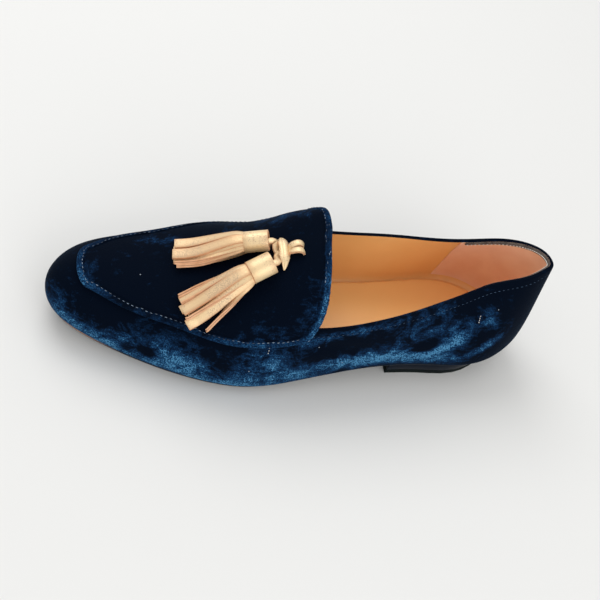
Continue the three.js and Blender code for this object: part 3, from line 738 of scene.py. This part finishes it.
on_apron = surface_of(apron)
seats = []
ring = even_points(apron_outline, stitch_pitch, True)
for i, point in enumerate(ring):
    ahead = (ring[(i + 1) % len(ring)] - ring[i - 1]).normalized()
    seat, normal = on_apron(point + Vector((0, 0, 0.4 * mm)))
    middle = Vector((max(0, min(apron_spine, point.x)), 0, point.z + 10 * mm))
    inward = (middle - point) - (middle - point).dot(ahead) * ahead
    inward = (inward - inward.dot(normal) * normal).normalized()
    seat, normal = on_apron(point + inward * groove_place * mm + normal * mm)
    seats.append((seat + normal * 0.05 * mm, normal, ahead))
stitch_row("apron_stitches", seats, thread)

white_thread = leather(
    "white_thread", (0.85, 0.83, 0.78, 1), (0.6, 0.56, 0.5, 1), cells=3000, mottle=900, depth=0.05 * mm,
    Roughness=0.6,
)
band_stitches = []
stitches_round = 62
heel_row_drop = 1.1 * mm
heel_row_proud = 1.27 * mm
for i in range(stitches_round):
    seat, normal = on_lining((i + 0.5) / stitches_round, heel_row_drop, heel_row_proud)
    before = on_lining(i / stitches_round, heel_row_drop, heel_row_proud)[0]
    band_stitches.append((seat, normal, (seat - before).normalized()))
stitch_row("heel_stitches", band_stitches, white_thread, length=1.1 * mm, width=0.5 * mm)

# A row runs round the collar outside, just below its turned edge, where the pile almost hides it.
collar_drop = 3.2 * mm
sunk_thread = leather(
    "sunk_thread", (0.045, 0.10, 0.18, 1), (0.004, 0.018, 0.045, 1), cells=3000, mottle=160,
    depth=0.05 * mm, Roughness=0.7,
)
on_velvet = surface_of(upper)
collar_middle = Vector((-0.055, -0.002, 0))
collar_front = 0.012
line = [point for point in open_edge(lining, collar_floor) if point.x < collar_front]
line.sort(key=lambda point: turn_round(collar_middle, point) % (2 * math.pi))
start = max(range(len(line)), key=lambda i: (line[i] - line[i - 1]).length)
line = even_points(line[start:] + line[:start], stitch_pitch, False)
seats = []
for before, point, after in zip(line, line[1:], line[2:]):
    outward = (after - before).cross(Vector((0, 0, 1))).normalized()
    outward *= math.copysign(1, outward.dot(point - collar_middle))
    seat, normal = on_velvet(point - Vector((0, 0, collar_drop)) + outward * 3 * mm)
    seats.append((seat + normal * 0.04 * mm, normal, (after - before).normalized()))
stitch_row("collar_stitches", seats, sunk_thread, length=1.2 * mm, width=0.24 * mm)

# Bar tacks hold the side seams' ends: a few short stitches of white thread, close together.
seam_end = 0.0225
seam_lean = 0.4 * mm
tack_pitch = 1.6 * mm
heel_tack = Vector((-0.0865, 0.03, 0.0495))
tacks = []
for side, height in ((1, 0.035), (-1, 0.037)):
    for i in range(3):
        spot = Vector((seam_end + i * seam_lean, side * 0.045, height + (i - 1) * tack_pitch))
        seat, normal = on_velvet(spot)
        tacks.append((seat + normal * 0.15 * mm, normal, Vector((0.1, 0, 1)).normalized()))
for i in range(4):
    seat, normal = on_velvet(heel_tack + Vector((0, 0, i * 1.5 * mm)))
    tacks.append((seat + normal * 0.1 * mm, normal, Vector((0, 0, 1))))
stitch_row("bar_tacks", tacks, white_thread, length=0.75 * mm, width=0.34 * mm)

# Insole sock
# The same tan calf, a little paler, laid over the insole board and trimmed clean against the lining. Its
# cut edge is slightly rounded.
trimmed_crease = 0.6
sock = merged_copy("insole", "insole_sock")
hold_edges(sock, trimmed_crease)
round_off(sock, 2)
sock.data.materials.append(leather(
    "sock_calf", (1.0, 0.60, 0.235, 1), (0.96, 0.54, 0.195, 1), cells=1500, mottle=14, depth=0.05 * mm,
    Roughness=0.38,
))
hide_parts("insole")
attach(sock, "root")

# Outsole
# One thin leather sole cemented under the lasted edge. Its edge is dark, and turns pale round the toe.
pale_toe_edge = (0.40, 0.25, 0.18, 1)
pale_from = 0.085
pale_fade = 0.025
outsole = merged_copy("outsole", "leather_outsole")
hold_edges(outsole, trimmed_crease)
round_off(outsole, 2)
sole_leather = leather(
    "sole_leather", (0.012, 0.014, 0.020, 1), (0.007, 0.008, 0.012, 1), cells=700, mottle=40,
    depth=0.08 * mm, Roughness=0.5, IOR=1.2,
)
# The edge is mixed toward a pale colour on its sides from the ball to the toe.
pale_toe_share = outsole.data.attributes.new("pale_toe", "FLOAT", "POINT").data
for vertex in outsole.data.vertices:
    on_edge = ease((0.7 - abs(vertex.normal.z)) / 0.4)
    pale_toe_share[vertex.index].value = on_edge * ease((vertex.co.x - pale_from) / pale_fade)
tree = sole_leather.node_tree
shader = tree.nodes["Principled BSDF"]
pale_toe = put(tree, "ShaderNodeAttribute", attribute_name="pale_toe").outputs["Fac"]
dark_tone = shader.inputs["Base Color"].links[0].from_socket
paled_tone = put(tree, "ShaderNodeMixRGB", {"Fac": pale_toe, "Color1": dark_tone, "Color2": pale_toe_edge})
tree.links.new(paled_tone.outputs[0], shader.inputs["Base Color"])
outsole.data.materials.append(sole_leather)
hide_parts("outsole")
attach(outsole, "root")

# Heel
# A low block of stacked board covered in polished dark leather, and a thin rubber lift nailed under it. The
# edges of both are slightly rounded.
heel_polish = leather(
    "heel_polish", (0.003, 0.007, 0.016, 1), (0.0015, 0.004, 0.010, 1), cells=500, mottle=60,
    depth=0.03 * mm, Roughness=0.28, IOR=1.16,
)
lift_rubber = leather(
    "lift_rubber", (0.005, 0.010, 0.010, 1), (0.003, 0.006, 0.006, 1), cells=1800, mottle=80,
    depth=0.05 * mm, Roughness=0.55, IOR=1.14,
)
heel_round = 0.7 * mm
heel_edge = math.radians(40)
heel_layers = (("heel_block", heel_polish, "sole_leather"), ("heel_lift", lift_rubber, "lift_rubber"))
for node, finish, slot in heel_layers:
    layer = merged_copy(node, "polished_" + node)
    finish_modifier(layer, "BEVEL", width=heel_round, segments=3, limit_method="ANGLE", angle_limit=heel_edge)
    bpy.ops.object.shade_smooth_by_angle(angle=heel_edge)
    layer.data.materials.append(finish)
    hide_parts(node)
    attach(layer, "root")

# Tassel caps
# Each is a strip of gold foil leather rolled round the gathered ends of its fringe, with the free end of
# the strip laid over and pressed down along the side.
cap_length = 11.8 * mm
cap_leather = 0.62 * mm
cap_turns = 1.95
roll_play = 0.02 * mm
mouth_taper = 0.1 * mm
roll_columns = 84
# Each cap: its heading in the plan and where its roll ends, in degrees; its step aside from the solid's
# middle and its radius, in millimetres
tassels = [
    {"name": "1", "heading": -6, "roll_end": 118, "aside": 0, "radius": 5.4},
    {"name": "2", "heading": 21, "roll_end": 96, "aside": 1.6, "radius": 6.0},
]


def cap_frame(tassel):
    """Middle of a cap's mouth, and directions along the tassel, across it and up, from the cap's solid."""
    heading = math.radians(tassel["heading"])
    plan = Vector((math.cos(heading), math.sin(heading), 0))
    points = [vertex.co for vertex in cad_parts["tassel_cap_" + tassel["name"]].data.vertices]
    reach = [point.dot(plan) for point in points]
    halfway = (min(reach) + max(reach)) / 2
    ends = []
    for wanted in (False, True):
        chosen = [point for point, far in zip(points, reach) if (far > halfway) is wanted]
        ends.append(sum(chosen, Vector()) / len(chosen))
    along = (ends[1] - ends[0]).normalized()
    across = Vector((-plan.y, plan.x, 0))
    return ends[0] + across * tassel["aside"] * mm, along, across, along.cross(across)


def foil(name, tones, worn, wear, **inputs):
    """Foiled leather: two metal tones and a deep one, creases, and specks where the foil is cracked."""
    material, tree, shader = new_material(name, Metallic=0.42, **inputs)
    spot = put(tree, "ShaderNodeTexCoord").outputs["Object"]
    specks = put(tree, "ShaderNodeTexNoise", {"Vector": spot, "Scale": 1500, "Detail": 3, "Roughness": 0.7})
    patches = put(tree, "ShaderNodeTexNoise", {"Vector": spot, "Scale": 75, "Detail": 2})
    often = put(tree, "ShaderNodeMapRange", {
        "Value": patches.outputs["Fac"], "From Min": 0.42, "From Max": 0.62, "To Min": 0.38,
        "To Max": 0.38 + wear,
    })
    above = put(tree, "ShaderNodeMath", {0: often.outputs[0], 1: specks.outputs["Fac"]}, operation="SUBTRACT")
    cracked = put(tree, "ShaderNodeMapRange", {"Value": above.outputs[0], "From Min": 0, "From Max": 0.06})
    warm = put(tree, "ShaderNodeMixRGB", {
        "Fac": patches.outputs["Fac"], "Color1": tones[0], "Color2": tones[1],
    })
    # The depth mark mixes in the deep tone: partly burnished edges, partly painted shade between strands.
    depth = put(tree, "ShaderNodeAttribute", attribute_name="depth").outputs["Fac"]
    own = put(tree, "ShaderNodeMixRGB", {"Fac": depth, "Color1": warm.outputs[0], "Color2": tones[2]})
    tone = put(tree, "ShaderNodeMixRGB", {
        "Fac": cracked.outputs[0], "Color1": own.outputs[0], "Color2": worn,
    })
    tree.links.new(tone.outputs[0], shader.inputs["Base Color"])
    grain = put(tree, "ShaderNodeGroup", {"Cells": 1700, "Mottle": 500}, node_tree=leather_grain)
    bump = put(tree, "ShaderNodeBump", {
        "Strength": 0.7, "Distance": 0.14 * mm, "Height": grain.outputs["Height"],
    })
    tree.links.new(bump.outputs[0], shader.inputs["Normal"])
    return material


champagne = ((0.90, 0.67, 0.36, 1), (0.92, 0.72, 0.46, 1), (0.62, 0.35, 0.18, 1))
gold_foil = foil("gold_foil", champagne, (0.60, 0.42, 0.26, 1), 0.12, Roughness=0.42)
cut_leather = leather(
    "cut_leather", (0.80, 0.45, 0.26, 1), (0.66, 0.34, 0.18, 1), cells=1500, mottle=300, depth=0.06 * mm,
    Roughness=0.75,
)
edge_shade = 0.5
edge_bevel = 0.1 * mm


def leather_strip(name, columns, rows, place_at, thickness, shade=0.0):
    """A strip of foil leather, laid by a rule for its middle surface, darker toward its plain cut edges."""
    bpy.ops.mesh.primitive_grid_add(x_subdivisions=columns, y_subdivisions=rows, size=2)
    strip = bpy.context.object
    strip.name = name
    edge_burnish_and_shade = strip.data.attributes.new("depth", "FLOAT", "POINT").data
    # Darker toward the cut edges: partly a burnished edge, partly painted shade of the grooves between
    # strands.
    for vertex in strip.data.vertices:
        edge_burnish_and_shade[vertex.index].value = min(1, shade + edge_shade * abs(vertex.co.y) ** 3)
        vertex.co = place_at((vertex.co.x + 1) / 2, vertex.co.y)
    strip.data.materials.append(gold_foil)
    strip.data.materials.append(cut_leather)
    finish_modifier(
        strip, "SOLIDIFY", thickness=thickness, offset=0, use_rim=True, material_offset_rim=1,
        use_even_offset=True,
    )
    finish_modifier(
        strip, "BEVEL", width=edge_bevel, segments=2, limit_method="ANGLE", angle_limit=math.radians(50),
    )
    return strip


def join(name, pieces):
    bpy.ops.object.select_all(action="DESELECT")
    for piece in pieces:
        piece.select_set(True)
    bpy.context.view_layer.objects.active = pieces[0]
    bpy.ops.object.join()
    joined = bpy.context.object
    joined.name = name
    bpy.ops.object.shade_smooth_by_angle(angle=math.radians(35))
    return joined


for tassel in tassels:
    mouth, along, across, above = cap_frame(tassel)

    def rolled(share, edge):
        """Round the cap from its inside out, wound once under itself."""
        turn = math.radians(tassel["roll_end"]) + (share - 1) * cap_turns * 2 * math.pi
        outermost = tassel["radius"] * mm - cap_leather / 2
        radius = outermost - (1 - share) * cap_turns * (cap_leather + roll_play)
        radius -= mouth_taper * (1 - edge) / 2
        reach = cap_length * (1 + edge) / 2
        return mouth + along * reach + across * radius * math.sin(turn) + above * radius * math.cos(turn)

    cap = leather_strip("rolled_cap_" + tassel["name"], roll_columns, 4, rolled, cap_leather)
    select_only(cap)
    bpy.ops.object.shade_smooth_by_angle(angle=math.radians(35))
    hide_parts("tassel_cap_" + tassel["name"])
    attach(cap, "root")

# Tassel fringes
# Strips of the same leather, doubled and cut by hand, are gathered round the end of the cap. They bend down
# on to the apron, the upper ones lying flat and the outer ones standing on their edges.
ply = 0.78 * mm
ply_gap = 0.12 * mm
fringe_length = 32.5 * mm
root_radius = 3.3 * mm
swell = 1.0 * mm
root_inside = 2.5 * mm
strand_columns = 18
stray_under = 0.92
strand_shade = 0.4
# Shares of a strand's length by which it has swelled, widened and spread, and over which it settles down
swell_by = 0.2
widen_by = 0.25
spread_by = 0.8
settle_from = 0.08
settle_over = 0.8
root_tilt = 0.6
root_pinch = 0.15
# Strands: where round the cap each one leaves it, in degrees from the top to the outer side; how far across
# the tassel and how high off the apron its end lies, in millimetres; its tilt there, its width and its length
fringes = {
    "1": [
        {"root": -150, "across": -3.2, "up": 0.9, "tilt": 0, "wide": 4.2, "long": 0.96},
        {"root": -175, "across": 1.2, "up": 0.9, "tilt": 0, "wide": 4.2, "long": 0.99},
        {"root": 150, "across": 5.4, "up": 0.9, "tilt": 0, "wide": 4.2, "long": 0.97},
        {"root": -95, "across": -5.4, "up": 2.2, "tilt": -30, "wide": 3.2, "long": 0.95},
        {"root": -30, "across": -0.4, "up": 2.8, "tilt": 8, "wide": 4.6, "long": 0.99},
        {"root": 40, "across": 4.6, "up": 2.4, "tilt": 8, "wide": 4.2, "long": 0.985},
        {"root": -42, "across": -3.3, "up": 4.8, "tilt": 10, "wide": 4.8, "long": 1.0},
        {"root": 18, "across": 3.4, "up": 5.0, "tilt": 14, "wide": 4.9, "long": 1.01},
        {"root": 66, "across": 7.2, "up": 3.2, "tilt": -51, "wide": 3.6, "long": 0.985},
        {"root": 88, "across": 8.6, "up": 2.4, "tilt": -51, "wide": 3.4, "long": 0.97},
    ],
    "2": [
        {"root": -150, "across": -2.6, "up": 0.9, "tilt": 4, "wide": 3.6, "long": 0.97},
        {"root": -175, "across": 1.6, "up": 0.9, "tilt": 8, "wide": 4.2, "long": 1.01},
        {"root": 150, "across": 5.6, "up": 1.0, "tilt": 12, "wide": 4.0, "long": 1.06},
        {"root": -92, "across": -8.0, "up": 2.6, "tilt": -61, "wide": 3.2, "long": 1.01},
        {"root": -68, "across": -6.6, "up": 3.0, "tilt": -61, "wide": 3.4, "long": 1.0},
        {"root": -30, "across": -1.4, "up": 2.8, "tilt": 6, "wide": 4.0, "long": 1.0},
        {"root": -44, "across": -4.3, "up": 4.8, "tilt": -24, "wide": 4.0, "long": 1.0},
        {"root": 8, "across": 0.4, "up": 5.6, "tilt": 6, "wide": 5.0, "long": 1.0},
        {"root": 46, "across": 3.9, "up": 4.6, "tilt": -58, "wide": 3.8, "long": 1.0},
        {"root": 70, "across": 6.0, "up": 3.6, "tilt": 40, "wide": 4.8, "long": 1.01},
        {"root": 96, "across": 11.4, "up": 1.8, "tilt": -61, "wide": 2.3, "long": 0.79},
    ],
}

skins = [BVHTree.FromObject(piece, bpy.context.evaluated_depsgraph_get()) for piece in (apron, upper)]
ray_start = 0.2


def ground(point):
    """Height of the velvet under a point of the plan."""
    for skin in skins:
        spot = skin.ray_cast(Vector((point.x, point.y, ray_start)), Vector((0, 0, -1)))[0]
        if spot is not None:
            return spot.z
    return 0


for tassel in tassels:
    mouth, along, across, above = cap_frame(tassel)
    plies = []
    for strand in fringes[tassel["name"]]:
        root_turn = math.radians(strand["root"])
        root = mouth + along * (cap_length - root_inside)
        root += across * root_radius * math.sin(root_turn) + above * root_radius * math.cos(root_turn)
        end_reach = cap_length + fringe_length * strand["long"]

        def centre_line(share):
            """A point of the strand, which swells out behind the cap, and how far it has settled there."""
            reach = cap_length - root_inside + (end_reach - cap_length + root_inside) * share
            free = root + along * (reach - cap_length + root_inside)
            spread = strand["across"] * mm - (root_radius + swell) * math.sin(root_turn)
            free += across * spread * (share if strand["long"] < stray_under else ease(share / spread_by))
            outward = across * math.sin(root_turn) + above * math.cos(root_turn)
            free += outward * swell * ease(share / swell_by)
            resting = Vector((free.x, free.y, ground(free) + strand["up"] * mm))
            settled = ease((share - settle_from) / settle_over)
            return free.lerp(resting, settled), settled

        for side in (-1, 1):

            def laid(share, edge):
                point, settled = centre_line(share)
                next_point = centre_line(min(1, share + 0.02))[0]
                ahead = (next_point - centre_line(max(0, share - 0.02))[0]).normalized()
                level_out = ahead.cross(across)
                tilt = math.radians(strand["tilt"]) * settled + root_turn * root_tilt * (1 - settled)
                face = level_out * math.cos(tilt) + across * math.sin(tilt)
                out = across * math.cos(tilt) - level_out * math.sin(tilt)
                half = strand["wide"] / 2 * mm * (1 - root_pinch + root_pinch * ease(share / widen_by))
                return point + out * edge * half + face * side * (ply + ply_gap) / 2

            shade = strand_shade * (0.5 + 0.5 * math.sin(5 * root_turn))
            plies.append(leather_strip("ply", strand_columns, 3, laid, ply, shade))
    fringe = join("leather_fringe_" + tassel["name"], plies)
    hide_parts("tassel_fringe_" + tassel["name"])
    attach(fringe, "root")

# Thong
# Two doubled strips of the leather come up through a slit in the tab, loop forward under the knot and run
# into the mouths of the caps.
thong_width = 3.2 * mm
thong_ply = 0.5 * mm
slit = Vector((0.0107, 0.0021))
knot = Vector((0.0192, 0.0021))
thong_bow = 0.25 * mm
thong_columns = 40
thong_rows = (
    {"x": slit.x - 0.0006, "aside": 0.55, "rise": -1.0},
    {"x": slit.x + 0.0002, "aside": 0.60, "rise": 1.6},
    {"x": slit.x + 0.0024, "aside": 0.62, "rise": 3.4},
    {"x": slit.x + 0.0048, "aside": 0.50, "rise": 3.2},
    {"x": knot.x - 0.0024, "aside": 0.32, "rise": 1.3},
    {"x": knot.x + 0.0024, "aside": 0.32, "rise": 1.3},
)


def smooth_line(points, share):
    """A point of the smooth curve through some points, by its share of their number."""
    where = share * (len(points) - 1)
    i = min(int(where), len(points) - 2)
    t = where - i
    before = points[max(0, i - 1)]
    after = points[min(len(points) - 1, i + 2)]
    a, b = points[i], points[i + 1]
    square = (2 * before - 5 * a + 4 * b - after) * t ** 2
    cube = (3 * a - before - 3 * b + after) * t ** 3
    return 0.5 * (2 * a + (b - before) * t + square + cube)


plies = []
for tassel, aside in zip(tassels, (-1, 1)):
    mouth, along, across, above = cap_frame(tassel)
    route = []
    for row in thong_rows:
        point = Vector((row["x"], knot.y + aside * thong_width * row["aside"], 0))
        point.z = ground(point) + row["rise"] * mm
        route.append(point)
    route += [mouth - along * 2.4 * mm - above * 1.6 * mm, mouth + along * 0.6 * mm - above * 0.8 * mm]
    for side in (-1, 1):

        def threaded(share, edge):
            point = smooth_line(route, share)
            ahead = smooth_line(route, min(1, share + 0.01)) - smooth_line(route, max(0, share - 0.01))
            out = Vector((-ahead.y, ahead.x, 0)).normalized()
            face = ahead.cross(out).normalized()
            bowed = thong_bow * (1 - edge ** 2)
            return point + out * edge * thong_width / 2 + face * (side * (thong_ply + ply_gap) / 2 + bowed)

        plies.append(leather_strip("ply", thong_columns, 4, threaded, thong_ply))
thong = join("thong_strips", plies)
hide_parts("thong")
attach(thong, "root")

# Knot wrap
# A short strip cut to a point at each end binds the thong. It is folded along its length and bowed up over
# the thong.
wrap_length = 18 * mm
wrap_width = 4.6 * mm
wrap_leather = 0.9 * mm
wrap_bow = 3.2 * mm
wrap_rest = 0.6 * mm
wrap_droop = 1.0 * mm
fold_depth = 0.35 * mm


def bound(share, edge):
    t = 2 * share - 1
    half = wrap_width / 2 * min(1, 0.1 + 1.5 * (1 - abs(t)) ** 0.75)
    point = Vector((knot.x + edge * half, knot.y + t * wrap_length / 2, 0))
    rest = ground(Vector((knot.x, point.y, 0))) + wrap_rest
    fold = fold_depth * math.exp(-((edge - 0.15) / 0.22) ** 2)
    point.z = rest + wrap_bow * (1 - t ** 4) - wrap_droop * edge ** 2 * (1 - t ** 2) - fold
    return point


wrap = leather_strip("folded_knot_wrap", 32, 12, bound, wrap_leather)
select_only(wrap)
bpy.ops.object.shade_smooth_by_angle(angle=math.radians(40))
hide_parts("knot_wrap")
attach(wrap, "root")
